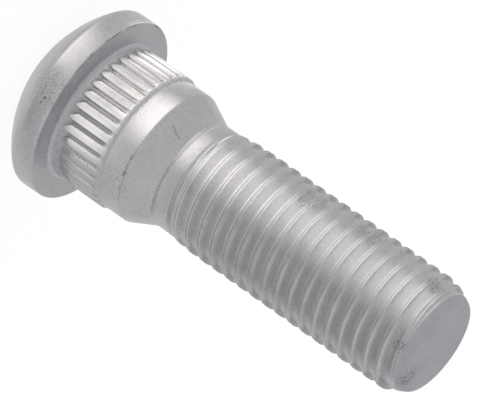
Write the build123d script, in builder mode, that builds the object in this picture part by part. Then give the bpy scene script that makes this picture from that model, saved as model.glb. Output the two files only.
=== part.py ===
"""Wheel stud for a car hub: domed head, serrated press-fit band, collar, cone, neck and threaded shank.

The stud is one forged piece. It stands on its head: its axis is +Z, the origin is the centre of the
flat on the back of the head, and the shank points up. All sizes are in millimetres. The fine thread
itself is not cut here: the shank has the thread's outside diameter.
"""

import os

from build123d import *

# Head: a flat on the back, a dome up to the rim, and a flat seat on top
HEAD_DIAMETER = 19.3
HEAD_FLAT_DIAMETER = 10.8
DOME_HEIGHT = 3.1
RIM_HEIGHT = 2.37
RIM_DRAFT = 0.05
RIM_CHAMFER = 0.15
SEAT_CHAMFER = 0.6

# Body: the plain ring under the seat and the smooth collar are one diameter
BODY_DIAMETER = 13.93
RING_HEIGHT = 0.65
COLLAR_LENGTH = 2.63
COLLAR_EDGE_RADIUS = 0.35

# Serrations: rolled into the body between the ring and the collar, pointed on the head side
BAND_LENGTH = 5.15
SERRATION_COUNT = 36
SERRATION_RISE = 0.31
SERRATION_SINK = 0.19
SERRATION_TOP = 0.62
SERRATION_BASE = 1.0
SERRATION_LEAD = 0.6
SERRATION_END = 0.25
SERRATION_TURN = 3.2

# Cone and plain neck
CONE_LENGTH = 2.83
NECK_DIAMETER = 11.26
NECK_LENGTH = 1.3
NECK_FILLET = 1.2

# Shank: a short run-in from the neck, the thread's outside diameter, and a tapered, rounded tip
THREAD_DIAMETER = 11.86
RUN_IN_LENGTH = 2.5
THREAD_LENGTH = 23.6
TIP_DIAMETER = 9.64
TIP_TAPER_LENGTH = 2.2
TIP_EDGE_RADIUS = 0.65

# The serrations' solids reach this far into the body
OVERLAP = 0.5

# Radii
head_radius = HEAD_DIAMETER / 2
flat_radius = HEAD_FLAT_DIAMETER / 2
rim_radius = head_radius - RIM_DRAFT
body_radius = BODY_DIAMETER / 2
serration_radius = body_radius + SERRATION_RISE
groove_radius = body_radius - SERRATION_SINK
neck_radius = NECK_DIAMETER / 2
thread_radius = THREAD_DIAMETER / 2
tip_radius = TIP_DIAMETER / 2

# Heights above the flat on the back of the head
seat_height = DOME_HEIGHT + RIM_HEIGHT
band_start = seat_height + RING_HEIGHT
lead_end = band_start + SERRATION_LEAD
band_end = band_start + BAND_LENGTH
end_start = band_end - SERRATION_END
collar_end = band_end + COLLAR_LENGTH
cone_end = collar_end + CONE_LENGTH
neck_end = cone_end + NECK_LENGTH
run_in_end = neck_end + RUN_IN_LENGTH
taper_start = run_in_end + THREAD_LENGTH
tip_height = taper_start + TIP_TAPER_LENGTH

# The dome is part of a ball on the axis, through the edge of the flat and the foot of the rim
dome_centre = (head_radius**2 + DOME_HEIGHT**2 - flat_radius**2) / (2 * DOME_HEIGHT)
dome_radius = (flat_radius**2 + dome_centre**2) ** 0.5


# One serration is a trapezium in section, repeated round the axis
with BuildPart() as serrations:
    with BuildSketch(Plane.XY.offset(band_start)):
        with PolarLocations(0, SERRATION_COUNT, start_angle=SERRATION_TURN):
            Polygon(
                (groove_radius - OVERLAP, -SERRATION_BASE / 2),
                (groove_radius, -SERRATION_BASE / 2),
                (serration_radius, -SERRATION_TOP / 2),
                (serration_radius, SERRATION_TOP / 2),
                (groove_radius, SERRATION_BASE / 2),
                (groove_radius - OVERLAP, SERRATION_BASE / 2),
                align=None,
            )
    extrude(amount=BAND_LENGTH)
    # Both ends run out to the body's diameter: a long lead by the head, a short end by the collar
    with BuildSketch(Plane.XZ):
        with BuildLine():
            Polyline(
                (0, band_start),
                (body_radius, band_start),
                (serration_radius, lead_end),
                (serration_radius, end_start),
                (body_radius, band_end),
                (0, band_end),
                close=True,
            )
        make_face()
    revolve(axis=Axis.Z, mode=Mode.INTERSECT)


# The turned outline from the back of the head to the tip, with the serrations added
with BuildPart() as wheel_stud:
    with BuildSketch(Plane.XZ):
        with BuildLine():
            # Flat back and dome of the head
            Line((0, 0), (flat_radius, 0))
            RadiusArc((flat_radius, 0), (head_radius, DOME_HEIGHT), -dome_radius)
            # Rim, seat, plain ring and the shallow trough that the serrations stand in
            Polyline(
                (head_radius, DOME_HEIGHT),
                (rim_radius, seat_height - RIM_CHAMFER),
                (rim_radius - RIM_CHAMFER, seat_height),
                (body_radius + SEAT_CHAMFER, seat_height),
                (body_radius, seat_height + SEAT_CHAMFER),
                (body_radius, band_start),
                (groove_radius, lead_end),
                (groove_radius, end_start),
                (body_radius, band_end),
            )
            # Collar, cone and neck
            FilletPolyline(
                (body_radius, band_end),
                (body_radius, collar_end),
                (neck_radius, cone_end),
                (neck_radius, neck_end),
                radius=[COLLAR_EDGE_RADIUS, NECK_FILLET],
            )
            # Run-in and thread diameter
            Polyline(
                (neck_radius, neck_end),
                (thread_radius, run_in_end),
                (thread_radius, taper_start),
            )
            # Tapered tip, rounded over to the flat end, and the axis
            FilletPolyline(
                (thread_radius, taper_start),
                (tip_radius, tip_height),
                (0, tip_height),
                radius=TIP_EDGE_RADIUS,
            )
            Line((0, tip_height), (0, 0))
        make_face()
    revolve(axis=Axis.Z)
    add(serrations.part)

wheel_stud.part.label = "wheel_stud"

os.makedirs("parts", exist_ok=True)
export_step(wheel_stud.part, "parts/wheel_stud.step")
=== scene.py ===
"""Dressed scene of the wheel stud.

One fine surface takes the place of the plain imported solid: it adds the rolled thread, the rounded
serrations and the soft edges, in zinc-plated steel. A white floor, a card whose light the metal mirrors
and the photograph's camera complete the scene. Sizes are in millimetres, and on the stage in metres.
"""

import logging
import math
from dataclasses import dataclass, field
from enum import Enum
from typing import Any

import bmesh
import bpy
import numpy as np
from mathutils import Matrix, Vector


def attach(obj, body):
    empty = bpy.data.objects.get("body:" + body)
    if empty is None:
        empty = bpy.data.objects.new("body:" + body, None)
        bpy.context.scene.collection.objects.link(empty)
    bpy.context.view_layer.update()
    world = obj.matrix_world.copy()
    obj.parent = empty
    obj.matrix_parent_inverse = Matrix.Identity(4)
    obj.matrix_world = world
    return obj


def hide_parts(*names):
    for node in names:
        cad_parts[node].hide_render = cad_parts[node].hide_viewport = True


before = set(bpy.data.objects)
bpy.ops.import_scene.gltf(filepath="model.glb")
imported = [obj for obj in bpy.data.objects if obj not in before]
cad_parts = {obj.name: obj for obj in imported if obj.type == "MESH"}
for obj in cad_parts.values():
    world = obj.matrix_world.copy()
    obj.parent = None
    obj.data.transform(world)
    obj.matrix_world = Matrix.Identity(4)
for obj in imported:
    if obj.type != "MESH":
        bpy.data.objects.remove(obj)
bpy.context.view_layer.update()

LOG = logging.getLogger("wheel_stud")
MM = 0.001
FULL_TURN = 2 * math.pi

# Sizes that two stretches of the surface share
SEAT_HEIGHT = 5.47
BODY_RADIUS = 6.965
NECK_RADIUS = 5.6
TIP_RADIUS = 4.82
TIP_HEIGHT = 46.33

# Fine columns of points to each coarse one
FINE_STEPS = 3

Ends = tuple[float, float]
Place = tuple[float, float, float]
Colour = tuple[float, float, float, float]
WHITE: Colour = (1, 1, 1, 1)


@dataclass
class Patch:
    """A stretch of surface: points in millimetres, and faces as rows of point numbers."""

    points: np.ndarray
    faces: np.ndarray


def polar_points(radius: np.ndarray, height: np.ndarray, angle: np.ndarray) -> np.ndarray:
    """Place points round the axis.

    The formula is x = radius cos(angle), y = radius sin(angle), z = height, on the arrays' common grid.

    Args:
        radius: distance from the axis.
        height: distance along the axis.
        angle: turn from +X, in radians.

    Returns:
        The points, with x, y and z along a last axis.
    """
    radius, height, angle = np.broadcast_arrays(radius, height, angle)
    return np.stack([radius * np.cos(angle), radius * np.sin(angle), height], axis=-1)


def grid_patch(points: np.ndarray) -> Patch:
    """Join a grid of points with quads.

    Each quad goes to the next column, up to the next row and back. With columns anticlockwise about
    the axis and rows from the head to the tip, its normal points out of the metal.

    Args:
        points: rows by columns by three.

    Returns:
        The patch.
    """
    rows, columns = points.shape[:2]
    number = np.arange(rows * columns).reshape(rows, columns)
    quads = np.stack([number[:-1, :-1], number[:-1, 1:], number[1:, 1:], number[1:, :-1]], axis=-1)
    return Patch(points.reshape(-1, 3), quads.reshape(-1, 4))


def turned_patch(outline: np.ndarray, angles: np.ndarray) -> Patch:
    """Turn an outline of (radius, height) rows about the axis: one row of points for each outline point."""
    return grid_patch(polar_points(outline[:, :1], outline[:, 1:], angles[None, :]))


def joining_patch(coarse: np.ndarray, fine: np.ndarray, fine_above: bool) -> Patch:
    """Join a coarse ring to a fine one.

    Every face has two points on the coarse ring and the points of the fine ring between them.

    Args:
        coarse: points of the coarse ring, closed.
        fine: points of the fine ring, closed.
        fine_above: whether the fine ring is the one nearer the tip.

    Returns:
        The patch of six-sided faces.
    """
    column = np.arange(len(coarse) - 1)[:, None]
    back = len(coarse) + FINE_STEPS * column + np.arange(FINE_STEPS, -1, -1)
    faces = np.concatenate([column, column + 1, back], axis=1)
    return Patch(np.concatenate([coarse, fine]), faces if fine_above else faces[:, ::-1])


@dataclass(frozen=True)
class OutlineSteps:
    """How finely an outline is divided.

    It has a number of steps on each arc, and on a straight stretch a longest step and a guard: the
    distance of the outer points from its ends, which keeps the shading flat between them.
    """

    arc: int
    guard: float
    longest: float


def straight_steps(start: np.ndarray, end: np.ndarray, steps: OutlineSteps) -> np.ndarray:
    """Points between two ends of a straight stretch: one close to each end, and even steps between.

    Args:
        start: first end, left out of the result.
        end: second end, left out of the result.
        steps: how finely the stretch is divided.

    Returns:
        The points, or none on a stretch shorter than three guards.
    """
    length = float(np.linalg.norm(end - start))
    if length < 3 * steps.guard:
        return np.empty((0, 2))
    near = steps.guard / length
    share = np.linspace(near, 1 - near, 2 + int(length // steps.longest))
    return start + (end - start) * share[:, None]


@dataclass(frozen=True)
class Corner:
    """A corner of a turned outline, and the radius that rounds it."""

    radius: float
    height: float
    rounding: float = 0.0


def rounded_outline(corners: list[Corner], steps: OutlineSteps) -> np.ndarray:
    """Follow corners with straight stretches, and round each corner with an arc tangent to both sides.

    The arc starts before the corner at rounding times tan(half the turn). Its points are that start plus
    rounding (sin(a) along + (1 - cos(a)) inward), with a from 0 to the turn.

    Args:
        corners: the corners in order, from the head to the tip.
        steps: how finely the arcs and straight stretches are divided.

    Returns:
        Rows of (radius, height).
    """
    places = np.array([(corner.radius, corner.height) for corner in corners])
    runs = [places[:1]]
    for before, corner, after, size in zip(places[:-2], places[1:-1], places[2:], corners[1:-1]):
        along = (corner - before) / np.linalg.norm(corner - before)
        away = (after - corner) / np.linalg.norm(after - corner)
        turn = math.acos(float(np.clip(along @ away, -1, 1)))
        side = math.copysign(1, along[0] * away[1] - along[1] * away[0])
        inward = side * np.array([-along[1], along[0]])
        first = corner - along * size.rounding * math.tan(turn / 2)
        swing = np.linspace(0, turn, steps.arc + 1 if size.rounding else 1)[:, None]
        arc = first + size.rounding * (np.sin(swing) * along + (1 - np.cos(swing)) * inward)
        runs += [straight_steps(runs[-1][-1], first, steps), arc]
    runs += [straight_steps(runs[-1][-1], places[-1], steps), places[-1:]]
    return np.concatenate(runs)


def smooth_step(share: np.ndarray) -> np.ndarray:
    """Ease from 0 to 1: the cubic 3 s^2 - 2 s^3 of the share held between 0 and 1."""
    held = np.clip(share, 0, 1)
    return held * held * (3 - 2 * held)


def ease(place: np.ndarray, ends: Ends) -> np.ndarray:
    """Ease from 0 at the first end to 1 at the second."""
    return smooth_step((place - ends[0]) / (ends[1] - ends[0]))


def sector_share(degrees: np.ndarray, middle: float, half: Ends) -> np.ndarray:
    """Ease round the axis: from 0 at the first angle away from a sector's middle to 1 at the second."""
    return ease(np.abs((degrees - middle + 180) % 360 - 180), half)


def smooth_least(first: np.ndarray, second: np.ndarray, blend: float) -> np.ndarray:
    """The smaller of two values, with the crossing rounded off over the blend."""
    share = np.clip(0.5 + 0.5 * (second - first) / blend, 0, 1)
    return second + (first - second) * share - blend * share * (1 - share)


def radius_of(points: np.ndarray) -> np.ndarray:
    """Distance of each point from the axis."""
    return np.hypot(points[:, 0], points[:, 1])


def angle_of(points: np.ndarray) -> np.ndarray:
    """Turn of each point from +X, in radians."""
    return np.arctan2(points[:, 1], points[:, 0])


@dataclass(frozen=True)
class Wander:
    """A smooth uneven line between about -1 and 1, from a few waves of seeded length and phase."""

    seed: int
    lengths: Ends
    waves: int = 7
    gain: float = 1.6

    def at(self, place: np.ndarray) -> np.ndarray:
        """Follow the line: the gain times the mean of the waves' sin(2 pi place / length + phase).

        Args:
            place: distance along the line.

        Returns:
            One value for each place.
        """
        chance = np.random.default_rng(self.seed)
        lengths = chance.uniform(*self.lengths, self.waves)
        phases = chance.uniform(0, FULL_TURN, self.waves)
        return self.gain * np.sin(FULL_TURN * place[..., None] / lengths + phases).mean(axis=-1)


@dataclass
class Columns:
    """The columns of points round the axis, closed on themselves.

    The fine columns crowd at the edges of the serrations, and the coarse ones are evenly picked from them.
    """

    serrations: int = 36
    serration_turn_deg: float = 3.85
    offsets_deg: tuple[float, ...] = (
        -4.1, -3.4, -2.9, -2.5, -1.9, -0.9, 0.0, 0.9, 1.9, 2.5, 2.9, 3.4, 4.1, 4.85, 5.15
    )

    def fine(self) -> np.ndarray:
        """Angles of the fine columns: the offsets, repeated about the middle of each serration.

        Returns:
            The angles in radians, with the first one repeated a full turn later.
        """
        centres = self.serration_turn_deg + np.arange(self.serrations) * 360 / self.serrations
        angles = np.radians(centres[:, None] + np.array(self.offsets_deg)).ravel()
        return np.append(angles, angles[0] + FULL_TURN)

    def coarse(self) -> np.ndarray:
        """Angles of the coarse columns, picked from the fine ones."""
        return self.fine()[::FINE_STEPS]

    def half_step_deg(self) -> float:
        """Angle from the middle of a serration to the middle of the next groove."""
        return 180 / self.serrations

    def off_ridge(self, degrees: np.ndarray) -> np.ndarray:
        """Angles from the middle of the nearest serration, in degrees."""
        half = self.half_step_deg()
        return (degrees - self.serration_turn_deg + half) % (2 * half) - half

    def turned(self, points: np.ndarray) -> np.ndarray:
        """Angle of each point from the middle of the nearest serration, in degrees."""
        return self.off_ridge(np.degrees(angle_of(points)))

    def from_ridge(self) -> np.ndarray:
        """Angle of each fine column from the middle of the nearest serration, in degrees."""
        return self.off_ridge(np.degrees(self.fine()))

    def ridge_number(self) -> np.ndarray:
        """Number of the serration nearest to each fine column."""
        turn = np.degrees(self.fine()) - self.serration_turn_deg - self.from_ridge()
        return np.round(turn / (2 * self.half_step_deg())) % self.serrations


@dataclass
class Head:
    """The round head: a flat back, a dome, an upright rim and the outer part of the seat."""

    flat_radius: float = 5.4
    rim_foot_radius: float = 9.65
    rim_foot_height: float = 3.1
    rim_top_radius: float = 9.6
    seat_height: float = SEAT_HEIGHT
    seat_inner_radius: float = 7.95
    flat_edge: float = 0.5
    rim_foot_edge: float = 0.9
    rim_top_edge: float = 0.15
    dome_steps: int = 9
    steps: OutlineSteps = OutlineSteps(arc=5, guard=0.1, longest=1.2)

    def outline(self) -> np.ndarray:
        """The turned outline from the middle of the back to the seat.

        The dome is an arc about a point on the axis, through the edge of the flat and the rim's foot.

        Returns:
            Rows of (radius, height).
        """
        foot_squared = self.rim_foot_radius**2 + self.rim_foot_height**2
        centre = (foot_squared - self.flat_radius**2) / (2 * self.rim_foot_height)
        ball = math.hypot(self.flat_radius, centre)
        swing = np.linspace(
            math.asin(self.flat_radius / ball), math.asin(self.rim_foot_radius / ball), self.dome_steps
        )[1:-1]
        dome = np.stack([ball * np.sin(swing), centre - ball * np.cos(swing)], axis=-1)
        corners = [
            Corner(0, 0),
            Corner(self.flat_radius, 0, self.flat_edge),
            *[Corner(radius, height) for radius, height in dome.tolist()],
            Corner(self.rim_foot_radius, self.rim_foot_height, self.rim_foot_edge),
            Corner(self.rim_top_radius, self.seat_height, self.rim_top_edge),
            Corner(self.seat_inner_radius, self.seat_height),
        ]
        return rounded_outline(corners, self.steps)

    def patch(self, columns: Columns) -> Patch:
        """The head's surface, turned."""
        return turned_patch(self.outline(), columns.coarse())


@dataclass
class SerratedBand:
    """The fillet under the head, the plain ring, the rolled serrations and most of the collar.

    A pair of heights, angles or reliefs says where something starts to ease in, and where it is full.
    """

    seat_radius: float = 7.8
    seat_height: float = SEAT_HEIGHT
    seat_fillet: float = 0.5
    seat_reach: float = 0.01
    fillet_steps: OutlineSteps = OutlineSteps(arc=6, guard=0.05, longest=1.0)
    corner_ease: float = 3.0
    corner_fade: float = 0.2
    body_radius: float = BODY_RADIUS
    band_start: float = 5.985
    band_end: float = 11.47
    rise: float = 0.31
    crown: float = 0.03
    top_half_deg: float = 2.9
    foot_half_deg: float = 3.7
    tip_start: float = 6.0
    tip_turn_deg: float = 1.5
    slant: float = 1.1
    lead: float = 0.08
    soft_lead: float = 3.0
    soft_rise: float = 0.8
    soft_middle_deg: float = -8.0
    soft_half_deg: Ends = (56.0, 34.0)
    follow_heights: tuple[float, ...] = (5.985, 6.0, 6.1, 8.2)
    follow_shares: tuple[float, ...] = (0.0, 1.0, 1.0, 0.0)
    end: float = 0.36
    fill: float = 0.75
    fill_heights: Ends = (10.3, 11.05)
    line_depth: float = 0.03
    line_half_width: float = 0.07
    line_even: float = 0.7
    line_uneven: float = 0.3
    uneven: float = 0.05
    top_uneven: float = 0.1
    top_drift: float = 0.2
    tip_wander: Wander = Wander(11, (2.1, 5.3))
    end_wander: Wander = Wander(12, (2.1, 5.3))
    top_wander: Wander = Wander(13, (1.7, 4.1))
    line_wander: Wander = Wander(14, (1.5, 6.0))
    # Painted highlight over rubbed-bright serration tops, kept to the lit front round the axis.
    highlight_middle_deg: float = -118.0
    highlight_half_deg: Ends = (80.0, 48.0)
    sheen_relief: Ends = (0.3, 0.8)
    sheen_end: Ends = (9.2, 11.3)
    sheen_end_loss: float = 0.4
    sheen_dip: float = 0.28
    sheen_dip_deg: float = 0.8
    groove_relief: Ends = (0.75, 0.15)
    groove_start: Ends = (6.3, 6.9)
    groove_least: float = 0.18
    groove_dark_deg: float = -72.0
    groove_dark_half_deg: float = 22.0
    ring_lightening: float = 0.72
    ring_start: Ends = (5.85, 6.0)
    ring_end: Ends = (6.75, 6.45)
    row_heights: tuple[float, ...] = (
        6.0, 6.03, 6.06, 6.1, 6.18, 6.3, 6.5, 6.75, 7.05, 7.5, 8.2, 8.9, 9.6, 10.2, 10.5, 10.7, 10.84, 10.96,
        11.06, 11.14, 11.2, 11.26, 11.32, 11.36, 11.4, 11.44, 11.47, 11.5, 11.54, 11.6, 11.68, 12.0, 12.55,
        13.1,
    )

    def outline(self) -> np.ndarray:
        """The turned outline under the serrations, from the seat to the last row on the collar.

        Returns:
            Rows of (radius, height).
        """
        corners = [
            Corner(self.seat_radius, self.seat_height),
            Corner(self.body_radius, self.seat_height, self.seat_fillet),
            Corner(self.body_radius, self.band_start),
        ]
        heights = np.array(self.row_heights)
        plain = np.stack([np.full_like(heights, self.body_radius), heights], axis=-1)
        return np.concatenate([rounded_outline(corners, self.fillet_steps), plain])

    def tip_line(self, columns: Columns) -> np.ndarray:
        """How far above the lowest tip each column's serration starts.

        The line rises straight on both sides of a serration's tip, up to its feet, and is a little uneven
        from one serration to the next.

        Args:
            columns: the columns round the axis.

        Returns:
            One distance for each fine column.
        """
        turn = np.clip(columns.from_ridge(), -self.foot_half_deg, self.foot_half_deg)
        half = columns.half_step_deg()
        past_tip = (turn - self.tip_turn_deg) / (half - self.tip_turn_deg)
        before_tip = (self.tip_turn_deg - turn) / (half + self.tip_turn_deg)
        uneven = self.uneven * np.clip(1 + self.tip_wander.at(columns.ridge_number()), 0, 2)
        return self.slant * np.maximum(past_tip, before_tip) + uneven

    def softness(self, columns: Columns) -> np.ndarray:
        """How far each fine column lies in the side where the serrations are low and fade in slowly."""
        return sector_share(np.degrees(columns.fine()), self.soft_middle_deg, self.soft_half_deg)

    def grid_heights(self, rows: np.ndarray, columns: Columns) -> np.ndarray:
        """Heights of the points: the rows' own heights, led along the line of the tips near the head."""
        follow = np.interp(rows, self.follow_heights, self.follow_shares)
        return rows + follow * self.tip_line(columns)[None, :]

    def relief(self, rows: np.ndarray, height: np.ndarray, columns: Columns) -> np.ndarray:
        """How far the serrations and the line after them stand out of the body.

        A serration is a crowned top with two straight sides. It starts with a short step at the line of the
        tips, or a long slope on the soft side, and falls to the collar on an eased slope. The grooves
        between serrations are as low as the ring, and rise close to the collar.

        Args:
            rows: rows' own heights, as a column.
            height: heights of the points, rows by columns.
            columns: the columns round the axis.

        Returns:
            The relief, rows by columns.
        """
        turn = columns.from_ridge()[None, :]
        number = columns.ridge_number()
        finish = self.band_end - self.uneven * self.end_wander.at(number)
        soft = self.softness(columns)[None, :]
        lead = self.lead + (self.soft_lead - self.lead) * soft
        share = smooth_step((rows - self.tip_start) / lead) * smooth_step((finish - height) / self.end)
        top = self.rise * (1 + self.top_uneven * self.top_wander.at(number + self.top_drift * height))
        top = top * (1 + (self.soft_rise - 1) * soft)
        top = top - self.crown * (turn / self.top_half_deg) ** 2
        side = (self.foot_half_deg - np.abs(turn)) / (self.foot_half_deg - self.top_half_deg)
        filled = self.fill * ease(height, self.fill_heights)
        relief = top * share * np.maximum(np.clip(side, 0, 1), filled)
        return relief - self.foot_line(height, columns)

    def foot_line(self, height: np.ndarray, columns: Columns) -> np.ndarray:
        """Depth of the V line that runs round at the foot of the collar.

        The depth falls in a straight line on both sides of the V's middle, and is uneven along the line.

        Args:
            height: heights of the points, rows by columns.
            columns: the columns round the axis.

        Returns:
            The depth, rows by columns.
        """
        share = np.clip(1 - np.abs(height - self.band_end) / self.line_half_width, 0, 1)
        angle = np.abs((columns.fine()[None, :] + math.pi) % FULL_TURN - math.pi)
        wave = self.line_wander.at(angle * self.body_radius)
        return self.line_depth * share * (self.line_even + self.line_uneven * wave)

    def shade_and_dull_share(self, points: np.ndarray) -> np.ndarray:
        """How far points lie in the corner between the seat and the serrations, where shade is painted.

        The share eases in over the first part of the fillet and out where the serrations start, and only
        counts close to the body.

        Args:
            points: rows of x, y and z.

        Returns:
            One share from 0 to 1 for each point.
        """
        height = points[:, 2]
        low = smooth_step((height - self.seat_height) / self.seat_fillet * self.corner_ease)
        high = smooth_step((self.band_start + self.corner_fade - height) / self.corner_fade)
        return low * high * smooth_step((self.seat_radius - radius_of(points)) / self.seat_fillet)

    def seat_share(self, points: np.ndarray) -> np.ndarray:
        """Whether points lie on the flat seat, where shade is painted, eased in away from the body."""
        flat = np.abs(points[:, 2] - self.seat_height) < self.seat_reach
        return flat * smooth_step((radius_of(points) - self.body_radius) / self.seat_fillet)

    def raised(self, points: np.ndarray) -> np.ndarray:
        """How far points stand out of the body, as a share of the serrations' rise."""
        return (radius_of(points) - self.body_radius) / self.rise

    def within(self, points: np.ndarray) -> np.ndarray:
        """Whether points lie between the two ends of the serrations, eased at both ends."""
        height = points[:, 2]
        return ease(height, self.groove_start) * smooth_step((self.band_end - height) / self.end)

    def sheen_and_wear_share(self, points: np.ndarray, columns: Columns) -> np.ndarray:
        """How bright the tops of the serrations are: rubbed-bright tops with a painted highlight.

        The share follows the height of the relief, dips along the middle of each top, is lower towards the
        collar, and fades out round the axis on both sides of the lit front, where the highlight is painted.

        Args:
            points: rows of x, y and z.
            columns: the columns round the axis.

        Returns:
            One share from 0 to 1 for each point.
        """
        # Painted highlight: the brightening fades out away from the lit front.
        front = sector_share(np.degrees(angle_of(points)), self.highlight_middle_deg, self.highlight_half_deg)
        rubbed = ease(self.raised(points), self.sheen_relief)
        dip = 1 - self.sheen_dip * np.exp(-((columns.turned(points) / self.sheen_dip_deg) ** 2))
        lost = self.sheen_end_loss * ease(points[:, 2], self.sheen_end)
        begun = smooth_step((points[:, 2] - self.band_start) / self.lead)
        return begun * front * rubbed * dip * (1 - lost)

    def ring_share(self, points: np.ndarray) -> np.ndarray:
        """How bright the plain ring and the feet of the serrations' tips are.

        The share eases in and out with height, and only counts close to the body.

        Args:
            points: rows of x, y and z.

        Returns:
            One share from 0 to 1 for each point.
        """
        height = points[:, 2]
        near = radius_of(points) < self.seat_radius
        return self.ring_lightening * ease(height, self.ring_start) * ease(height, self.ring_end) * near

    def groove_share(self, points: np.ndarray) -> np.ndarray:
        """How much painted shade, with duller plating, points get in the grooves between the serrations.

        The share follows the depth under the tops, and is greatest in the dark part of the front, round
        which it falls as a bell curve to its least.

        Args:
            points: rows of x, y and z.

        Returns:
            One share from 0 to 1 for each point.
        """
        down = self.within(points) * ease(self.raised(points), self.groove_relief)
        away = np.degrees(angle_of(points)) - self.groove_dark_deg
        dark = np.exp(-((away / self.groove_dark_half_deg) ** 2))
        return down * (self.groove_least + (1 - self.groove_least) * dark)

    def patch(self, columns: Columns) -> Patch:
        """The band's surface: the turned outline with the relief added to its radius.

        Args:
            columns: the columns round the axis.

        Returns:
            The patch, on the fine columns.
        """
        outline = self.outline()
        rows = outline[:, 1:]
        heights = self.grid_heights(rows, columns)
        radius = outline[:, :1] + self.relief(rows, heights, columns)
        return grid_patch(polar_points(radius, heights, columns.fine()[None, :]))


@dataclass
class CollarAndNeck:
    """The end of the collar, the cone and the plain neck."""

    collar_radius: float = BODY_RADIUS
    collar_break: float = 13.22
    collar_end: float = 13.9
    cone_end: float = 16.73
    neck_radius: float = NECK_RADIUS
    collar_edge: float = 0.5
    neck_fillet: float = 0.9
    line_height: float = 17.08
    line_half_width: float = 0.06
    line_depth: float = 0.04
    steps: OutlineSteps = OutlineSteps(arc=5, guard=0.08, longest=0.7)

    def patch(self, columns: Columns, neck_end: float) -> Patch:
        """The turned surface from the collar's break to where the thread starts.

        Args:
            columns: the columns round the axis.
            neck_end: height of the last ring.

        Returns:
            The patch.
        """
        corners = [
            Corner(self.collar_radius, self.collar_break),
            Corner(self.collar_radius, self.collar_end, self.collar_edge),
            Corner(self.neck_radius, self.cone_end, self.neck_fillet),
            Corner(self.neck_radius, self.line_height - self.line_half_width),
            Corner(self.neck_radius - self.line_depth, self.line_height),
            Corner(self.neck_radius, self.line_height + self.line_half_width),
            Corner(self.neck_radius, neck_end),
        ]
        return turned_patch(rounded_outline(corners, self.steps), columns.coarse())


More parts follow.
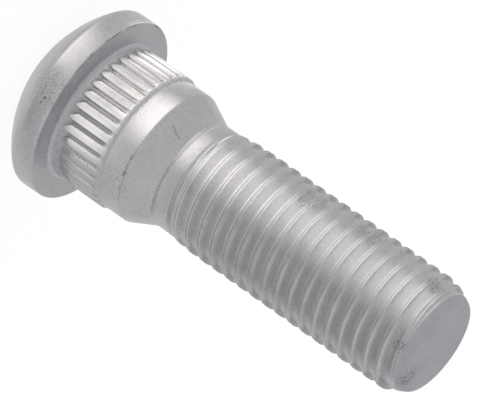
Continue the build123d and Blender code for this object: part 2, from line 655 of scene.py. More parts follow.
@dataclass
class Thread:
    """The rolled right-hand thread, from the neck to the tapered tip.

    The rows of points follow the helix, so that each crest, flank and root keeps its own rows. The form is
    rows of (distance from the crest along the axis, radius).
    """

    pitch: float = 1.51
    front_crest: float = 19.45
    front_angle: float = -math.pi / 2
    first_turn: int = -1
    last_turn: int = 16
    form: tuple[tuple[float, float], ...] = (
        (-0.755, 5.530),
        (-0.560, 5.510),
        (-0.430, 5.560),
        (-0.320, 5.730),
        (-0.230, 5.875),
        (-0.170, 5.922),
        (-0.120, 5.922),
        (-0.055, 5.880),
        (0.000, 5.858),
        (0.055, 5.880),
        (0.120, 5.925),
        (0.170, 5.930),
        (0.230, 5.890),
        (0.340, 5.780),
        (0.480, 5.645),
        (0.620, 5.570),
    )
    crest_radius: float = 5.93
    last_row: int = 11
    neck_radius: float = NECK_RADIUS
    crest_heights: tuple[float, ...] = (18.4, 19.4, 20.9, 22.4)
    crest_shares: tuple[float, ...] = (0.0, 0.5, 0.9, 1.0)
    root_heights: Ends = (18.2, 18.7)
    root_shares: Ends = (0.0, 1.0)
    taper_start: float = 44.13
    taper_end: float = TIP_HEIGHT
    taper_radius: float = TIP_RADIUS
    taper_blend: float = 0.12
    fade_heights: tuple[float, ...] = (44.3, 45.2, 45.6)
    fade_shares: tuple[float, ...] = (1.0, 0.6, 0.0)
    seam_half_width: float = 0.16
    crest_reach: float = 2.0
    lip_uneven: float = 0.012
    lip_skew: float = 3.0
    lip_wander: Wander = Wander(21, (0.9, 7.0))
    lip_offset: float = 0.145
    lip_half_width: float = 0.075
    # Painted highlight on the lips and painted light on the flank, each in its own sector round the axis.
    lip_painted_highlight: float = 0.55
    lip_middle_deg: float = -116.0
    lip_half_deg: Ends = (36.0, 10.0)
    flank_painted_light: float = 0.36
    flank_offsets: tuple[float, ...] = (0.0, 0.1, 0.3, 0.5)
    flank_shares: tuple[float, ...] = (0.0, 1.0, 1.0, 0.0)
    flank_middle_deg: float = -52.0
    flank_half_deg: Ends = (30.0, 10.0)
    root_depths: Ends = (0.05, 0.3)
    nick_seed: int = 31
    nick_count: int = 46
    nick_depth: float = 0.07
    nick_length: float = 0.16
    nick_sizes: Ends = (0.5, 1.5)

    def crest_height(self, angle: np.ndarray) -> np.ndarray:
        """Height of the crest of turn 0: it climbs one pitch in a full turn."""
        return self.front_crest + self.pitch * (angle - self.front_angle) / FULL_TURN

    def off_crest(self, above: np.ndarray) -> np.ndarray:
        """Distance from the nearest crest, for heights above the crest of turn 0."""
        return (above + self.pitch / 2) % self.pitch - self.pitch / 2

    def point_offset(self, points: np.ndarray) -> np.ndarray:
        """Distance of points from the nearest crest, along the axis."""
        return self.off_crest(points[:, 2] - self.crest_height(angle_of(points)))

    def row_heights(self) -> np.ndarray:
        """Heights of the helical rows above the crest of turn 0: the form's rows, repeated each pitch.

        Returns:
            One height for each row, in order.
        """
        turns = np.arange(self.first_turn, self.last_turn + 1)
        rows = (turns[:, None] * self.pitch + np.array(self.form)[:, 0]).ravel()
        return rows[: len(rows) - len(self.form) + self.last_row + 1]

    def start_height(self, columns: Columns) -> float:
        """Height of the flat ring under the first row."""
        return float(self.crest_height(columns.coarse()[0]) + self.row_heights()[0])

    def end_height(self, columns: Columns) -> float:
        """Height of the flat ring above the last row."""
        return float(self.crest_height(columns.coarse()[-1]) + self.row_heights()[-1])

    def taper(self, height: np.ndarray) -> np.ndarray:
        """Radius of the tip's cone, which cuts the thread down."""
        share = (height - self.taper_start) / (self.taper_end - self.taper_start)
        return self.crest_radius + (self.taper_radius - self.crest_radius) * share

    def radius(self, height: np.ndarray, angle: np.ndarray) -> np.ndarray:
        """Radius of the threaded surface.

        The thread form is a function of the distance from the nearest crest. Its crest and root grow
        out of the neck by shares that rise with height, and the tip's cone cuts it down. The crest has
        a seam between two lips, uneven along the helix, with a few nicks.

        Args:
            height: heights of the points.
            angle: angles of the points.

        Returns:
            The radius of each point.
        """
        above = height - self.crest_height(angle)
        offset = self.off_crest(above)
        along = FULL_TURN * self.crest_radius * (above - offset) / self.pitch
        along = along + self.crest_radius * (angle - self.front_angle)
        form = np.interp(offset, *np.array(self.form).T, period=self.pitch)
        near_crest = smooth_step(self.crest_reach - np.abs(offset) / self.seam_half_width)
        form = form + near_crest * self.lip_uneven * self.lip_wander.at(along + self.lip_skew * offset)
        form = form - near_crest * self.nicks(along, offset)
        proud = form - self.neck_radius
        crest_share = np.interp(height, self.crest_heights, self.crest_shares)
        root_share = np.interp(height, self.root_heights, self.root_shares)
        grown = self.neck_radius + proud * np.where(proud > 0, crest_share, root_share)
        drop = (self.crest_radius - grown) * np.interp(height, self.fade_heights, self.fade_shares)
        return self.envelope(height) - drop

    def envelope(self, height: np.ndarray) -> np.ndarray:
        """Radius over the crests: the thread's own, and the taper's near the tip."""
        crest = np.full_like(height, self.crest_radius)
        return smooth_least(crest, self.taper(height), self.taper_blend)

    def root_share(self, points: np.ndarray) -> np.ndarray:
        """How far points lie down in the thread's grooves: the depth under the crests' envelope, eased."""
        depth = self.envelope(points[:, 2]) - radius_of(points)
        return ease(depth, self.root_depths) * self.threaded_share(points[:, 2])

    def threaded_share(self, height: np.ndarray) -> np.ndarray:
        """Whether heights lie on the thread: eased in where it starts, and out where it fades."""
        faded = np.interp(height, self.fade_heights, self.fade_shares)
        return ease(height, self.root_heights) * faded

    def seam_share(self, points: np.ndarray) -> np.ndarray:
        """How close points lie to the seam, where shade is painted: falling straight from the crest's middle
        to its lips' tops.
        """
        near = np.clip(1 - np.abs(self.point_offset(points)) / self.seam_half_width, 0, 1)
        return near * self.threaded_share(points[:, 2])

    def lip_share(self, points: np.ndarray) -> np.ndarray:
        """How bright the two lips of the crest and the flank above it are painted: painted highlight on the
        lips, painted light on the flank.

        A lip's share falls in a straight line on both sides of its top. The lips and the flank each fade
        out round the axis, on both sides of their own part of the front: the lips round the highlight, the
        flank on the darker side.

        Args:
            points: rows of x, y and z.

        Returns:
            One share from 0 to 1 for each point.
        """
        degrees = np.degrees(angle_of(points))
        offset = self.point_offset(points)
        front = sector_share(degrees, self.lip_middle_deg, self.lip_half_deg)
        lip = np.clip(1 - np.abs(np.abs(offset) - self.lip_offset) / self.lip_half_width, 0, 1)
        side = sector_share(degrees, self.flank_middle_deg, self.flank_half_deg)
        flank = np.interp(offset, self.flank_offsets, self.flank_shares)
        sheen_and_wear = np.maximum(self.lip_painted_highlight * front * lip, self.flank_painted_light * side * flank)
        return sheen_and_wear * self.threaded_share(points[:, 2])

    def nicks(self, along: np.ndarray, offset: np.ndarray) -> np.ndarray:
        """Depth of small dents at seeded places on the crests: a bell-shaped hollow at each place.

        Args:
            along: distances along the helix.
            offset: distances from the crest.

        Returns:
            The depth at each point.
        """
        chance = np.random.default_rng(self.nick_seed)
        length = FULL_TURN * self.crest_radius * (self.last_turn - self.first_turn)
        places = chance.uniform(0, length, self.nick_count)
        sides = chance.uniform(-self.seam_half_width, self.seam_half_width, self.nick_count)
        sizes = chance.uniform(*self.nick_sizes, self.nick_count)
        depth = np.zeros_like(along)
        for place, side, size in zip(places, sides, sizes):
            away = np.hypot(along - place, offset - side) / (self.nick_length * size)
            depth += self.nick_depth * size * np.exp(-(away**2))
        return depth

    def patches(self, columns: Columns) -> list[Patch]:
        """The helical sheet, and a wedge at each end that closes it to a flat ring.

        In the sheet a row climbs one pitch in a full turn and meets the row one pitch higher. The lower
        wedge opens from nothing to one pitch over the turn, and the upper one closes the same way.

        Args:
            columns: the columns round the axis.

        Returns:
            The lower wedge, the sheet and the upper wedge.
        """
        angles = columns.coarse()[None, :]
        share = (angles - angles[0, 0]) / FULL_TURN
        rows = self.row_heights()[:, None]
        count = len(self.form) + 1
        first = rows[:count] - rows[0]
        last = rows[-count:] - rows[-count]
        crest = self.crest_height(angles)
        sheets = [
            self.start_height(columns) + first * share,
            crest + rows,
            crest + rows[-1] + last * (1 - share),
        ]
        return [grid_patch(polar_points(self.radius(height, angles), height, angles)) for height in sheets]


@dataclass
class Tip:
    """The rounded end of the taper and the flat end face."""

    taper_radius: float = TIP_RADIUS
    height: float = TIP_HEIGHT
    edge: float = 0.65
    steps: OutlineSteps = OutlineSteps(arc=7, guard=0.08, longest=1.2)
    shade_and_dull_heights: Ends = (45.46, 45.62)

    def patch(self, columns: Columns, start_radius: float, start_height: float) -> Patch:
        """The turned surface from the last ring of the thread to the middle of the end face.

        Args:
            columns: the columns round the axis.
            start_radius: radius of the ring.
            start_height: height of the ring.

        Returns:
            The patch.
        """
        corners = [
            Corner(start_radius, start_height),
            Corner(self.taper_radius, self.height, self.edge),
            Corner(0, self.height),
        ]
        return turned_patch(rounded_outline(corners, self.steps), columns.coarse())

    def shade_and_dull_share(self, points: np.ndarray) -> np.ndarray:
        """How far points lie on the end, which gets painted shade and duller plating: the share eases in
        between two heights.
        """
        return ease(points[:, 2], self.shade_and_dull_heights)


class MathStep(Enum):
    """The operations that expressions on values use."""

    ADD = "ADD"
    SUBTRACT = "SUBTRACT"
    MULTIPLY = "MULTIPLY"
    DIVIDE = "DIVIDE"
    MAXIMUM = "MAXIMUM"


class VectorStep(Enum):
    """The operations on vectors."""

    SUBTRACT = "SUBTRACT"
    MULTIPLY = "MULTIPLY"
    NORMALIZE = "NORMALIZE"
    DISTANCE = "DISTANCE"
    DOT_PRODUCT = "DOT_PRODUCT"
    SCALE = "SCALE"


class MixKind(Enum):
    """What a Mix node mixes: its data type, and the places of its two inputs and its output."""

    COLOUR = ("RGBA", 6, 7, 2)
    VECTOR = ("VECTOR", 4, 5, 1)


class RayKind(Enum):
    """The kinds of ray that a material can tell apart."""

    CAMERA = "Is Camera Ray"
    GLOSSY = "Is Glossy Ray"
    TRANSMISSION = "Is Transmission Ray"


class OutputKind(Enum):
    """The node that ends a tree."""

    MATERIAL = "ShaderNodeOutputMaterial"
    WORLD = "ShaderNodeOutputWorld"


class Value:
    """A node's output socket that carries a number, colour or vector, with operators that add Math nodes."""

    def __init__(self, shader: "Shader", node: bpy.types.Node, output: str | int) -> None:
        """Keep where the socket is.

        Args:
            shader: the tree that the node is in.
            node: the node.
            output: name or place of the output.
        """
        self.shader = shader
        self.node = node
        self.output = output

    @property
    def socket(self) -> bpy.types.NodeSocket:
        """The output socket."""
        return self.node.outputs[self.output]

    def step(self, step: MathStep, left: "Number", right: "Number", clamp: bool = False) -> "Value":
        """Add one Math node.

        Args:
            step: the operation.
            left: first number or value.
            right: second number or value.
            clamp: whether the result is held between 0 and 1.

        Returns:
            The result.
        """
        settings = {"operation": step.value, "use_clamp": clamp}
        return self.shader.node("ShaderNodeMath", settings, {0: left, 1: right})

    def __add__(self, other: "Number") -> "Value":
        """This plus another."""
        return self.step(MathStep.ADD, self, other)

    def __radd__(self, other: "Number") -> "Value":
        """Another plus this."""
        return self.step(MathStep.ADD, other, self)

    def __sub__(self, other: "Number") -> "Value":
        """This less another."""
        return self.step(MathStep.SUBTRACT, self, other)

    def __rsub__(self, other: "Number") -> "Value":
        """Another less this."""
        return self.step(MathStep.SUBTRACT, other, self)

    def __mul__(self, other: "Number") -> "Value":
        """This times another."""
        return self.step(MathStep.MULTIPLY, self, other)

    def __rmul__(self, other: "Number") -> "Value":
        """Another times this."""
        return self.step(MathStep.MULTIPLY, other, self)

    def __truediv__(self, other: "Number") -> "Value":
        """This divided by another."""
        return self.step(MathStep.DIVIDE, self, other)

    def __rtruediv__(self, other: "Number") -> "Value":
        """Another divided by this."""
        return self.step(MathStep.DIVIDE, other, self)

    def held(self) -> "Value":
        """This held between 0 and 1."""
        return self.step(MathStep.ADD, self, 0.0, clamp=True)

    def between(self, ends: Ends) -> "Value":
        """How far this lies from the first end to the second, held between 0 and 1."""
        return ((self - ends[0]) / (ends[1] - ends[0])).held()

    def most(self, other: "Number") -> "Value":
        """The larger of this and another."""
        return self.step(MathStep.MAXIMUM, self, other)


Number = Value | float


@dataclass(frozen=True)
class Mottling:
    """A cloudy noise of the plating, and how much it shades, roughens and lifts the surface.

    The scale is in cells to a millimetre, and sharp is the strength of the finer detail.
    """

    scale: float
    detail: float
    sharp: float
    shade: float = 0.0
    rough: float = 0.0
    lift: float = 0.0


class Shader:
    """The node tree of a material or a world, with one method that adds any node."""

    def __init__(self, owner: "bpy.types.Material | bpy.types.World") -> None:
        """Start with an empty tree.

        Args:
            owner: the material or world.
        """
        owner.use_nodes = True
        self.tree = owner.node_tree
        self.tree.nodes.clear()

    def node(
        self,
        kind: str,
        settings: dict[str, Any] | None = None,
        inputs: dict[str | int, Any] | None = None,
        output: str | int = 0,
    ) -> Value:
        """Add a node.

        Args:
            kind: the node's type.
            settings: its own settings, set first.
            inputs: numbers, colours or values for its sockets, by name or place.
            output: the output to use, by name or place.

        Returns:
            The chosen output.
        """
        made = self.tree.nodes.new(kind)
        for name, setting in (settings or {}).items():
            setattr(made, name, setting)
        for key, value in (inputs or {}).items():
            if isinstance(value, Value):
                self.tree.links.new(value.socket, made.inputs[key])
            else:
                made.inputs[key].default_value = value
        return Value(self, made, output)

    def mix(self, kind: MixKind, factor: Number, first: Any, second: Any) -> Value:
        """Mix two colours or two vectors.

        Args:
            kind: which of the two.
            factor: share of the second.
            first: numbers or a value.
            second: numbers or a value.

        Returns:
            The mixed colour or vector.
        """
        data_type, left, right, result = kind.value
        inputs = {0: factor, left: first, right: second}
        return self.node("ShaderNodeMix", {"data_type": data_type}, inputs, result)

    def vector(self, step: VectorStep, first: Any, second: Any = (0, 0, 0), output: str | int = 0) -> Value:
        """Add one Vector Math node, on vectors that are values or three numbers."""
        return self.node("ShaderNodeVectorMath", {"operation": step.value}, {0: first, 1: second}, output)

    def scaled(self, vector: Any, factor: Number) -> Value:
        """A vector or colour times a number."""
        settings = {"operation": VectorStep.SCALE.value}
        return self.node("ShaderNodeVectorMath", settings, {0: vector, "Scale": factor})

    def axis(self, vector: Value, name: str) -> Value:
        """The X, Y or Z of a vector."""
        return self.node("ShaderNodeSeparateXYZ", inputs={0: vector}, output=name)

    def millimetres(self) -> Value:
        """The point on the object, in millimetres."""
        return self.scaled(self.node("ShaderNodeTexCoord", output="Object"), 1 / MM)

    def stored(self, name: str) -> Value:
        """A number that is stored at the surface's points."""
        return self.node("ShaderNodeAttribute", {"attribute_name": name}, output="Fac")

    def noise(self, place: Value, cloud: Mottling) -> Value:
        """Cloudy noise from -0.5 to 0.5."""
        inputs = {"Vector": place, "Scale": cloud.scale, "Detail": cloud.detail, "Roughness": cloud.sharp}
        return self.node("ShaderNodeTexNoise", {"noise_dimensions": "3D"}, inputs) - 0.5

    def ray(self, kind: RayKind) -> Value:
        """1 on a ray of the kind, and 0 on others."""
        return self.node("ShaderNodeLightPath", output=kind.value)

    def seen(self) -> Value:
        """1 on a ray from the camera, also through glass, and 0 on others."""
        return self.ray(RayKind.CAMERA) + self.ray(RayKind.TRANSMISSION)

    def finish(self, surface: Value, output: OutputKind = OutputKind.MATERIAL) -> None:
        """Lead a surface shader to the tree's output."""
        self.node(output.value, inputs={"Surface": surface})


@dataclass(frozen=True)
class Mark:
    """A dark scratch or pit in the plating, from one point to another, with a ragged edge."""

    start: Place
    end: Place
    width: float
    strength: float = 0.5
    ragged: float = 1.6
    edge: float = 1.1

    def away(self, shader: Shader, place: Value) -> Value:
        """Distance from the mark's line: from the point's foot on the line, held between its two ends.

        Args:
            shader: the material's tree.
            place: the point in millimetres.

        Returns:
            The distance in millimetres.
        """
        line = Vector(self.end) - Vector(self.start)
        from_start = shader.vector(VectorStep.SUBTRACT, place, self.start)
        slope = tuple(line / line.length_squared)
        along = shader.vector(VectorStep.DOT_PRODUCT, from_start, slope, "Value").held()
        return shader.vector(VectorStep.DISTANCE, from_start, shader.scaled(tuple(line), along), "Value")

    def share(self, shader: Shader, place: Value, mottle: Value) -> Value:
        """Share of marked plating: falling from the line, with an edge that the mottling breaks."""
        away = self.away(shader, place) / self.width + mottle * self.ragged
        return ((1.0 - away) * self.edge).held() * self.strength


@dataclass(frozen=True)
class SpeckZone:
    """A cluster of dark specks in the plating: full up to the reach from its centre, none at twice that."""

    centre: Place
    reach: float
    strength: float
    fade: float = 2.0

    def share(self, shader: Shader, place: Value, peaks: Value) -> Value:
        """Share of specked plating: the grain's peaks, inside the zone."""
        away = shader.vector(VectorStep.DISTANCE, place, self.centre, "Value")
        return (self.fade - away / self.reach).held() * peaks * self.strength


@dataclass(frozen=True)
class PitField:
    """Sparse small pits on both sides of the front, where a cloudy noise is high.

    A pair is where a side's zone starts, and where it is full.
    """

    cells: float = 3.4
    size: float = 0.26
    edge: float = 8.0
    cloud: Mottling = Mottling(0.5, 2, 0.5)
    cloud_start: float = -0.04
    cloud_edge: float = 6.0
    left: Ends = (1.0, 4.5)
    right: Ends = (-4.2, -5.2)
    right_heights: Ends = (24.0, 28.0)
    strength: float = 0.6

    def share(self, shader: Shader, place: Value) -> Value:
        """Share of pitted plating: the middles of cells, inside the zones.

        Args:
            shader: the material's tree.
            place: the point in millimetres.

        Returns:
            The share.
        """
        near = shader.node("ShaderNodeTexVoronoi", None, {"Vector": place, "Scale": self.cells}, "Distance")
        across = shader.axis(place, "X")
        right = across.between(self.right) * shader.axis(place, "Z").between(self.right_heights)
        zone = across.between(self.left) + right
        cloud = ((shader.noise(place, self.cloud) - self.cloud_start) * self.cloud_edge).held()
        return cloud * ((self.size - near) * self.edge).held() * zone * self.strength


@dataclass(frozen=True)
class ZincPlate:
    """Satin zinc plating: grey metal with cloudy mottling, fine grain, small pits and a few marks, with
    painted shade and painted highlights laid on by stored shares.
    """

    name: str = "zinc_plate"
    light: Colour = (0.74, 0.73, 0.75, 1)
    dark: Colour = (0.44, 0.435, 0.455, 1)
    # Below: a darker, bluer colour that paints shade, and a near-white one that paints highlights and rubbed
    # wear.
    shade_and_dull: Colour = (0.315, 0.36, 0.41, 1)
    sheen_and_wear: Colour = (0.95, 0.94, 0.935, 1)
    pit: Colour = (0.1, 0.1, 0.105, 1)
    cloud: Mottling = Mottling(0.32, 2, 0.5, shade=0.4, lift=0.022)
    mottle: Mottling = Mottling(1.7, 4, 0.65, shade=0.5, rough=0.1, lift=0.007)
    grain: Mottling = Mottling(6.5, 2, 0.6, shade=0.7, rough=0.04, lift=0.002)
    middle_shade: float = 0.5
    roughness: float = 0.2
    root_name: str = "root_share"
    # Painted shade in the thread's roots.
    root_painted_shade: float = 0.1
    root_rough: float = 0.08
    shade_and_dull_name: str = "shade_and_dull_share"
    dull_rough: float = 1.4
    sheen_and_wear_name: str = "sheen_and_wear_share"
    sheen_and_wear_cover: float = 0.95
    sheen_and_wear_patchy: float = 0.7
    pit_rough: float = 0.25
    pit_depth: float = 0.02
    soft_share: float = 0.79
    soft_root: float = 0.12
    soft_start: Ends = (18.4, 19.8)
    soft_end: Ends = (45.6, 45.5)
    speck_gain: float = 9.0
    pit_field: PitField = PitField()
    specks: tuple[SpeckZone, ...] = (
        SpeckZone((0.90, -9.55, 4.30), 1.3, 0.5),
        SpeckZone((3.65, -1.80, 46.30), 0.7, 0.8),
        SpeckZone((1.80, -5.10, 45.05), 0.4, 0.8),
        SpeckZone((-4.55, -3.65, 44.00), 0.6, 0.7),
        SpeckZone((-5.05, -3.05, 36.00), 0.9, 0.6),
        SpeckZone((-4.57, -3.75, 29.50), 1.0, 0.45),
    )
    marks: tuple[Mark, ...] = (
        Mark((1.96, -9.42, 4.30), (1.90, -9.43, 4.35), 0.22, 0.85),
        Mark((2.39, -9.32, 4.28), (2.45, -9.30, 4.20), 0.18, 0.8),
        Mark((1.63, -9.49, 3.96), (1.70, -9.48, 3.90), 0.14, 0.7),
        Mark((-1.66, -9.40, 5.42), (-4.04, -8.65, 5.42), 0.14),
        Mark((-5.60, -7.75, 5.45), (-7.10, -6.40, 5.45), 0.12, 0.6),
        Mark((-7.60, -5.80, 5.45), (-8.60, -4.20, 5.45), 0.08),
        Mark((-9.50, -1.20, 5.45), (-9.55, 0.90, 5.45), 0.10, 0.7),
        Mark((-2.72, -5.83, 15.00), (-2.34, -5.72, 15.52), 0.18, 0.36),
        Mark((-2.34, -5.72, 15.52), (-2.12, -5.51, 16.11), 0.13, 0.32),
        Mark((1.60, -6.75, 13.75), (2.90, -6.30, 13.75), 0.12),
        Mark((2.90, -6.30, 13.75), (3.60, -5.93, 13.75), 0.22, 0.6),
        Mark((3.60, -5.93, 13.75), (4.90, -4.90, 13.75), 0.10),
        Mark((-5.86, -0.70, 26.30), (-5.80, -1.00, 26.25), 0.25, 0.7),
    )

    def build(self) -> bpy.types.Material:
        """Make the material.

        Returns:
            The material, on object coordinates and the shares stored at the points.
        """
        material = bpy.data.materials.new(self.name)
        shader = Shader(material)
        place = shader.millimetres()
        cloud = shader.noise(place, self.cloud)
        mottle = shader.noise(place, self.mottle)
        grain = shader.noise(place, self.grain)
        pits = self.pits(shader, place, mottle, grain)
        root = shader.stored(self.root_name)
        shade_and_dull = shader.stored(self.shade_and_dull_name)
        sheen_and_wear = shader.stored(self.sheen_and_wear_name) * (mottle * self.sheen_and_wear_patchy + self.sheen_and_wear_cover).held()
        shade = cloud * self.cloud.shade + mottle * self.mottle.shade + grain * self.grain.shade
        plated = shader.mix(MixKind.COLOUR, (shade + self.middle_shade).held(), self.dark, self.light)
        # Painted shade: darker and bluer in the corner under the head, on the seat, in the grooves and
        # seams, on the end face, and a little in the thread's roots.
        plated = shader.mix(MixKind.COLOUR, shade_and_dull.most(root * self.root_painted_shade), plated, self.shade_and_dull)
        # Painted highlight, partly rubbed wear: near white on the serrations' tops and the thread's lips,
        # lighter on the flanks and the plain ring.
        plated = shader.mix(MixKind.COLOUR, sheen_and_wear, plated, self.sheen_and_wear)
        roughness = self.roughness + mottle * self.mottle.rough + grain * self.grain.rough
        roughness = roughness + pits * self.pit_rough + root * self.root_rough + shade_and_dull * self.dull_rough
        lift = cloud * self.cloud.lift + mottle * self.mottle.lift + grain * self.grain.lift
        bump = {
            "Strength": 1.0,
            "Distance": MM,
            "Height": lift - pits * self.pit_depth,
            "Normal": self.softened_normal(shader, place, root),
        }
        plate = {
            "Base Color": shader.mix(MixKind.COLOUR, pits, plated, self.pit),
            "Metallic": 1.0,
            "Roughness": roughness,
            "Normal": shader.node("ShaderNodeBump", inputs=bump),
        }
        shader.finish(shader.node("ShaderNodeBsdfPrincipled", inputs=plate))
        return material

    def softened_normal(self, shader: Shader, place: Value, root: Value) -> Value:
        """The surface normal, leaned towards straight out from the axis along the thread.

        The plating fills the thread's grooves and softens its flanks. The lean eases in over the first
        turn and out at the tip.

        Args:
            shader: the material's tree.
            place: the point in millimetres.
            root: share of the thread's grooves, which are softened most.

        Returns:
            The normal.
        """
        height = shader.axis(place, "Z")
        lean = height.between(self.soft_start) * height.between(self.soft_end)
        lean = lean * (root * self.soft_root + self.soft_share)
        outward = shader.vector(VectorStep.MULTIPLY, place, (1, 1, 0))
        outward = shader.vector(VectorStep.NORMALIZE, outward)
        own = shader.node("ShaderNodeNewGeometry", output="Normal")
        return shader.vector(VectorStep.NORMALIZE, shader.mix(MixKind.VECTOR, lean, own, outward))

    def pits(self, shader: Shader, place: Value, mottle: Value, grain: Value) -> Value:
        """Share of pitted plating, from 0 to 1: sparse small cells, clusters of specks, and the marks.

        Args:
            shader: the material's tree.
            place: the point in millimetres.
            mottle: the mottling, which breaks the edges of the marks.
            grain: the grain, whose peaks are the specks.

        Returns:
            The share.
        """
        total = self.pit_field.share(shader, place)
        peaks = (grain * self.speck_gain).held()
        for specks in self.specks:
            total = total.most(specks.share(shader, place, peaks))
        for mark in self.marks:
            total = total.most(mark.share(shader, place, mottle))
        return total


@dataclass(frozen=True)
class PaleFloor:
    """White floor: matt for light, near white to the camera, with the object's soft shadow kept."""

    name: str = "pale_floor"
    colour: Colour = (0.82, 0.82, 0.82, 1)
    white_share: float = 0.86
    white_level: float = 1.075
    mirror_share: float = 0.5
    mirror_level: float = 0.62

    def build(self) -> bpy.types.Material:
        """Make the material.

        Returns:
            The material: matt paint, with a share of even light on camera rays and on mirror rays.
        """
        material = bpy.data.materials.new(self.name)
        shader = Shader(material)
        seen = shader.seen()
        mirror = shader.ray(RayKind.GLOSSY)
        level = seen * self.white_level + mirror * self.mirror_level
        share = seen * self.white_share + mirror * self.mirror_share
        matt = shader.node("ShaderNodeBsdfDiffuse", inputs={"Color": self.colour})
        glow = shader.node("ShaderNodeEmission", inputs={"Color": WHITE, "Strength": level})
        shader.finish(shader.node("ShaderNodeMixShader", inputs={0: share, 1: matt, 2: glow}))
        return material


@dataclass(frozen=True)
class GlowingCard:
    """A white card that glows by the level stored at its points."""

    name: str = "glowing_card"
    level_name: str = "glow"
    even: Colour = (0.99, 0.985, 1.0, 1)
    warm: Colour = (1.0, 0.97, 0.935, 1)
    warm_level: float = 1.6

    def build(self) -> bpy.types.Material:
        """Make the material.

        Returns:
            The material: emission at the stored level, warmer where it is brighter.
        """
        material = bpy.data.materials.new(self.name)
        shader = Shader(material)
        level = shader.stored(self.level_name)
        colour = shader.mix(MixKind.COLOUR, (level / self.warm_level).held(), self.even, self.warm)
        shader.finish(shader.node("ShaderNodeEmission", inputs={"Color": shader.scaled(colour, level)}))
        return material


@dataclass
class WheelStud:
    """The whole stud as one closed surface."""

    name: str = "zinc_wheel_stud"
    node: str = "wheel_stud"
    slot: str = "plated_steel"
    body: str = "root"
    merge: float = 0.00005
    # Strengths of the painted shade, with duller plating, in each place.
    corner_shade_and_dull: float = 0.14
    seat_shade_and_dull: float = 0.14
    groove_shade_and_dull: float = 0.32
    face_shade_and_dull: float = 0.24
    seam_shade_and_dull: float = 0.04
    columns: Columns = field(default_factory=Columns)
    head: Head = field(default_factory=Head)
    band: SerratedBand = field(default_factory=SerratedBand)
    collar: CollarAndNeck = field(default_factory=CollarAndNeck)
    thread: Thread = field(default_factory=Thread)
    tip: Tip = field(default_factory=Tip)
    plate: ZincPlate = field(default_factory=ZincPlate)

    def patches(self) -> list[Patch]:
        """Build all stretches of the surface.

        Returns:
            The patches, from the back of the head to the end face.
        """
        columns = self.columns
        width = len(columns.coarse())
        fine_width = len(columns.fine())
        head = self.head.patch(columns)
        band = self.band.patch(columns)
        collar = self.collar.patch(columns, self.thread.start_height(columns))
        end_height = self.thread.end_height(columns)
        end_radius = float(self.thread.taper(np.array(end_height)))
        tip = self.tip.patch(columns, end_radius, end_height)
        seat_join = joining_patch(head.points[-width:], band.points[:fine_width], fine_above=True)
        collar_join = joining_patch(collar.points[:width], band.points[-fine_width:], fine_above=False)
        return [head, seat_join, band, collar_join, collar, *self.thread.patches(columns), tip]

    def build(self) -> bpy.types.Object:
        """Put the patches into one mesh and close its seams.

        Returns:
            The object, at the origin.
        """
        patches = self.patches()
        starts = np.cumsum([0] + [len(patch.points) for patch in patches[:-1]])
        points = np.concatenate([patch.points for patch in patches]) * MM
        faces = [row for patch, start in zip(patches, starts) for row in (patch.faces + start).tolist()]
        mesh = bpy.data.meshes.new(self.name)
        mesh.from_pydata(points.tolist(), [], faces)
        work = bmesh.new()
        work.from_mesh(mesh)
        bmesh.ops.remove_doubles(work, verts=work.verts, dist=self.merge * MM)
        open_edges = sum(1 for edge in work.edges if not edge.is_manifold)
        LOG.info("%s: %d open edges, volume %.1f mm3", self.name, open_edges, work.calc_volume() / MM**3)
        work.to_mesh(mesh)
        work.free()
        mesh.shade_smooth()
        self.store_shares(mesh)
        piece = bpy.data.objects.new(self.name, mesh)
        bpy.context.scene.collection.objects.link(piece)
        return piece

    def store_shares(self, mesh: bpy.types.Mesh) -> None:
        """Store at each point how deep it lies in the thread, its painted shade with duller plating, and its
        painted highlight with rubbed plating.

        Args:
            mesh: the closed surface.
        """
        places = np.empty(3 * len(mesh.vertices))
        mesh.vertices.foreach_get("co", places)
        points = places.reshape(-1, 3) / MM
        # Painted shade, with duller plating: the corner, the end face, the crest seams, the serrations'
        # grooves and the seat.
        shade_and_dull = (
            self.corner_shade_and_dull * self.band.shade_and_dull_share(points)
            + self.face_shade_and_dull * self.tip.shade_and_dull_share(points)
            + self.seam_shade_and_dull * self.thread.seam_share(points)
            + self.groove_shade_and_dull * self.band.groove_share(points)
            + self.seat_shade_and_dull * self.band.seat_share(points)
        )
        # Painted highlight, partly rubbed plating: the serrations' tops and the thread's lips; also lighter
        # flanks and a lighter plain ring.
        rubbed = (
            self.band.sheen_and_wear_share(points, self.columns),
            self.band.ring_share(points),
            self.thread.lip_share(points),
        )
        shares = {
            self.plate.root_name: self.thread.root_share(points),
            self.plate.shade_and_dull_name: shade_and_dull,
            self.plate.sheen_and_wear_name: np.maximum.reduce(rubbed),
        }
        for name, share in shares.items():
            mesh.attributes.new(name, "FLOAT", "POINT").data.foreach_set("value", share)

    def dress(self, piece: bpy.types.Object) -> None:
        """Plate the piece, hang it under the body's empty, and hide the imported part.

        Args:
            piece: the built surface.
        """
        piece.data.materials.append(self.plate.build())
        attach(piece, self.body)
        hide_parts(self.node)


def stage_object(name: str, patch: Patch, material: bpy.types.Material) -> bpy.types.Object:
    """Put a patch that is in metres on the stage.

    Args:
        name: the object's name.
        patch: its surface.
        material: its finish.

    Returns:
        The object.
    """
    mesh = bpy.data.meshes.new(name)
    mesh.from_pydata(patch.points.tolist(), [], patch.faces.tolist())
    mesh.materials.append(material)
    made = bpy.data.objects.new(name, mesh)
    bpy.context.scene.collection.objects.link(made)
    return made


@dataclass(frozen=True)
class GlowPatch:
    """A brighter or dimmer stretch of the card: each side as where it starts and where it is full."""

    level: float
    left_deg: Ends
    right_deg: Ends
    near: Ends
    far: Ends

    def glow(self, radii: np.ndarray, degrees: np.ndarray) -> np.ndarray:
        """The patch's level, eased on all four sides."""
        across = ease(degrees, self.left_deg) * ease(degrees, self.right_deg)
        return self.level * across * ease(radii, self.near) * ease(radii, self.far)


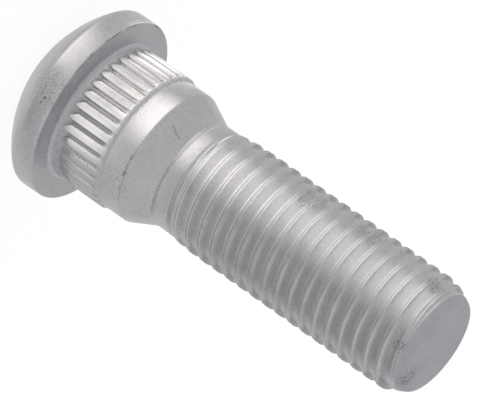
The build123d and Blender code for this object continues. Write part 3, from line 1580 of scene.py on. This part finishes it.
@dataclass
class BounceCard:
    """A wide round card that lies under the stud and lights its upright walls, which mirror it.

    Each wall mirrors a ring of the card: the rim the nearest one, then the serrations, the collar, the
    neck and the thread. Only mirror rays see the card. Sizes are in metres.
    """

    name: str = "bounce_card"
    even: tuple[tuple[float, float], ...] = (
        (0.006, 0.70),
        (0.014, 0.70),
        (0.017, 0.64),
        (0.023, 0.60),
        (0.034, 0.67),
        (0.300, 0.67),
    )
    rim_light: GlowPatch = GlowPatch(0.86, (-156, -124), (-88, -113), (0.0105, 0.014), (0.023, 0.015))
    rim_shade: GlowPatch = GlowPatch(-0.17, (-95, -68), (-14, -60), (0.014, 0.0165), (0.024, 0.0215))
    band_light: GlowPatch = GlowPatch(0.4, (-268, -238), (-12, -55), (0.0192, 0.0222), (0.0315, 0.028))
    band_shade: GlowPatch = GlowPatch(-0.44, (-215, -170), (-76, -104), (0.0205, 0.0235), (0.0315, 0.028))
    band_right: GlowPatch = GlowPatch(0.8, (-250, -230), (-165, -198), (0.0165, 0.0185), (0.0262, 0.0238))
    collar_light: GlowPatch = GlowPatch(1.55, (-186, -144), (-70, -120), (0.0298, 0.0326), (0.044, 0.04))
    neck_light: GlowPatch = GlowPatch(0.42, (-192, -146), (-98, -115), (0.042, 0.0455), (0.054, 0.0495))
    thread_light: GlowPatch = GlowPatch(0.46, (-188, -152), (-90, -128), (0.05, 0.068), (0.28, 0.17))
    thread_shade: GlowPatch = GlowPatch(-0.3, (-98, -70), (45, 0), (0.05, 0.06), (0.24, 0.14))
    back_deg: float = 90.0
    height: float = 0.0006
    columns: int = 181
    rows: int = 90
    finish: GlowingCard = field(default_factory=GlowingCard)

    def glow(self, radii: np.ndarray, degrees: np.ndarray) -> np.ndarray:
        """Level of the card's light: an even level that follows the distance, plus the patches.

        Args:
            radii: distances from the stud's axis.
            degrees: angles from +X.

        Returns:
            The level at each point of their common grid.
        """
        patches = (
            self.rim_light,
            self.rim_shade,
            self.band_light,
            self.band_shade,
            self.band_right,
            self.collar_light,
            self.neck_light,
            self.thread_light,
            self.thread_shade,
        )
        even = np.interp(radii, *np.array(self.even).T)
        return even + sum(patch.glow(radii, degrees) for patch in patches)

    def build(self) -> bpy.types.Object:
        """Lay the card: a polar grid, facing up, with the level stored at each point.

        Returns:
            The card object, seen by mirror rays only.
        """
        degrees = np.linspace(self.back_deg - 360, self.back_deg, self.columns)[None, :]
        radii = np.geomspace(self.even[0][0], self.even[-1][0], self.rows)[:, None]
        points = polar_points(radii, np.full_like(radii, self.height), np.radians(degrees))
        card = stage_object(self.name, grid_patch(points), self.finish.build())
        stored = card.data.attributes.new(self.finish.level_name, "FLOAT", "POINT")
        stored.data.foreach_set("value", self.glow(radii, degrees).ravel())
        card.visible_camera = card.visible_diffuse = card.visible_shadow = False
        return card


@dataclass
class Studio:
    """The pale floor, the even surround and the bounce card. Sizes are in metres."""

    floor_name: str = "studio_floor"
    floor_half: float = 3.0
    surround_name: str = "studio_surround"
    surround: float = 0.65
    floor: PaleFloor = field(default_factory=PaleFloor)
    card: BounceCard = field(default_factory=BounceCard)

    def build_floor(self) -> bpy.types.Object:
        """Lay the floor: a flat grid of two by two points, under the head.

        Returns:
            The floor object.
        """
        side = np.array([-self.floor_half, self.floor_half])
        x, y = np.meshgrid(side, side)
        patch = grid_patch(np.stack([x, y, np.zeros_like(x)], axis=-1))
        return stage_object(self.floor_name, patch, self.floor.build())

    def build_surround(self) -> None:
        """Give the world an even light, and white to the camera."""
        world = bpy.data.worlds.new(self.surround_name)
        shader = Shader(world)
        strength = self.surround + shader.seen() * (1 - self.surround)
        light = shader.node("ShaderNodeBackground", inputs={"Color": WHITE, "Strength": strength})
        shader.finish(light, OutputKind.WORLD)
        bpy.context.scene.world = world

    def build(self) -> None:
        """Build the surround, the floor and the card."""
        self.build_surround()
        for made in (self.build_floor(), self.card.build()):
            LOG.info("stage %s", made.name)


@dataclass
class PhotoCamera:
    """The photograph's camera: above the horizon on the front side, rolled, with a long lens."""

    name: str = "photo_camera"
    elevation_deg: float = 22.47
    roll_deg: float = 124.98
    distance: float = 515.6
    aim: Place = (0.0, 0.0, 22.0)
    picture_width: float = 480
    focal_pixels: float = 5593
    sensor: float = 36
    right_shift: float = 5.7
    up_shift: float = 5.1
    nearest: float = 10.0

    def build(self) -> bpy.types.Object:
        """Place the camera.

        An upright camera at the elevation has right = +X and up = (0, sin e, cos e). The roll turns both
        about the line of sight. The whole camera is moved sideways by the small shift of the frame.

        Returns:
            The camera object.
        """
        elevation = math.radians(self.elevation_deg)
        roll = math.radians(self.roll_deg)
        level = Vector((1, 0, 0))
        steep = Vector((0, math.sin(elevation), math.cos(elevation)))
        back = Vector((0, -math.cos(elevation), math.sin(elevation)))
        right = math.cos(roll) * level + math.sin(roll) * steep
        up = math.cos(roll) * steep - math.sin(roll) * level
        per_pixel = self.distance / self.focal_pixels
        aim = Vector(self.aim) + right * self.right_shift * per_pixel + up * self.up_shift * per_pixel
        place = (aim + back * self.distance) * MM
        data = bpy.data.cameras.new(self.name)
        data.sensor_width = self.sensor
        data.lens = self.focal_pixels * self.sensor / self.picture_width
        data.clip_start = self.nearest * MM
        camera = bpy.data.objects.new(self.name, data)
        turned = Matrix((right, up, back)).transposed().to_4x4()
        camera.matrix_world = Matrix.Translation(place) @ turned
        bpy.context.scene.collection.objects.link(camera)
        bpy.context.scene.camera = camera
        return camera


def main() -> None:
    """Build the camera, the studio and the stud."""
    logging.basicConfig(level=logging.INFO, format="%(name)s: %(message)s")
    bpy.context.scene.view_settings.view_transform = "Standard"
    PhotoCamera().build()
    Studio().build()
    stud = WheelStud()
    piece = stud.build()
    stud.dress(piece)
    LOG.info("%s: %d points, %d faces", piece.name, len(piece.data.vertices), len(piece.data.polygons))


if __name__ == "__main__":
    main()
